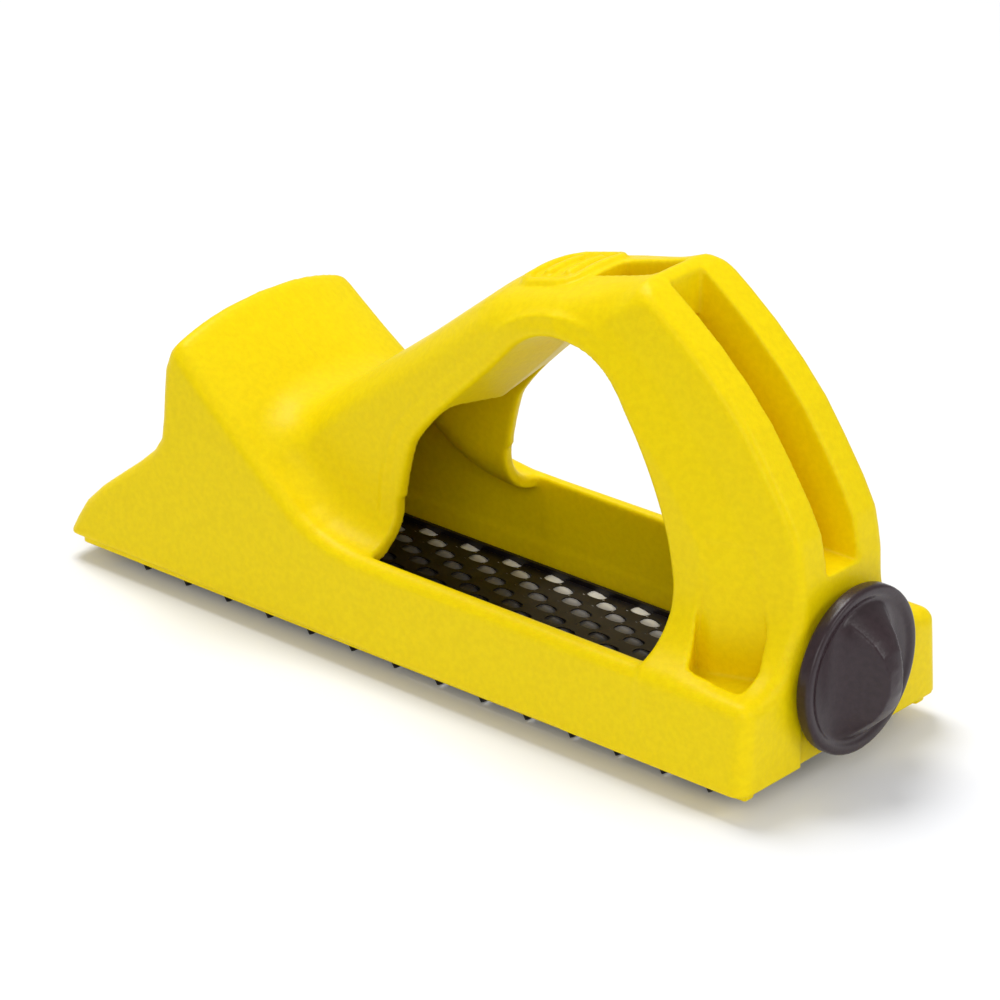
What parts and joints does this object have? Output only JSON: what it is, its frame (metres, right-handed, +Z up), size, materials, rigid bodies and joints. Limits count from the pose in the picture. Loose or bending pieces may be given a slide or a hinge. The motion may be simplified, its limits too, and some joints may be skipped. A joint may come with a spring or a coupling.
{
  "type": "rasp block plane",
  "caption": "Hand rasp block: plastic body with a looped handle and a thumb rest, perforated rasp blade below, and a rear knob that tightens the blade.",
  "frame": {"origin": "bottom centre of the whole tool's bounding box, on the plane of the tooth tips", "axes": "+X from the nose to the knob, +Y across the tool to its left side, +Z up from the blade to the handle"},
  "size_m": [0.1682, 0.055, 0.0812],
  "materials": {
    "body_plastic": "yellow moulded plastic with a fine grain",
    "blade_steel": "blackened spring steel with bright cutting edges",
    "zinc_steel": "zinc plated sheet",
    "hook_steel": "zinc plated sheet",
    "nut_steel": "zinc plated",
    "screw_steel": "zinc plated",
    "washer_steel": "zinc plated",
    "ring_steel": "blackened spring steel",
    "knob_plastic": "dark brown-black moulded plastic, satin"
  },
  "bodies": {
    "body": {"body": "body_plastic", "front_hook": "zinc_steel"},
    "blade": {"rasp_blade": "blade_steel"},
    "hook": {"tension_hook": "hook_steel", "tension_nut": "nut_steel"},
    "knob": {"knob": "knob_plastic", "tension_screw": "screw_steel", "knob_washer": "washer_steel", "retaining_ring": "ring_steel"}
  },
  "joints": [
    {"name": "knob_turn", "type": "hinge", "parent": "body", "child": "knob", "pos_m": [0.0739, 0, 0.0199], "axis": [1, 0, 0], "range_deg": [0, 1800]},
    {"name": "hook_slide", "type": "slide", "parent": "body", "child": "hook", "axis": [1, 0, 0], "range_m": [-0.0051, 0]},
    {"name": "blade_drop", "type": "slide", "parent": "body", "child": "blade", "axis": [0, 0, -1], "range_m": [0, 0.03]}
  ],
  "couplings": [
    {"joint": "hook_slide", "follows": "knob_turn", "m_per_rad": -0.00015915}
  ]
}
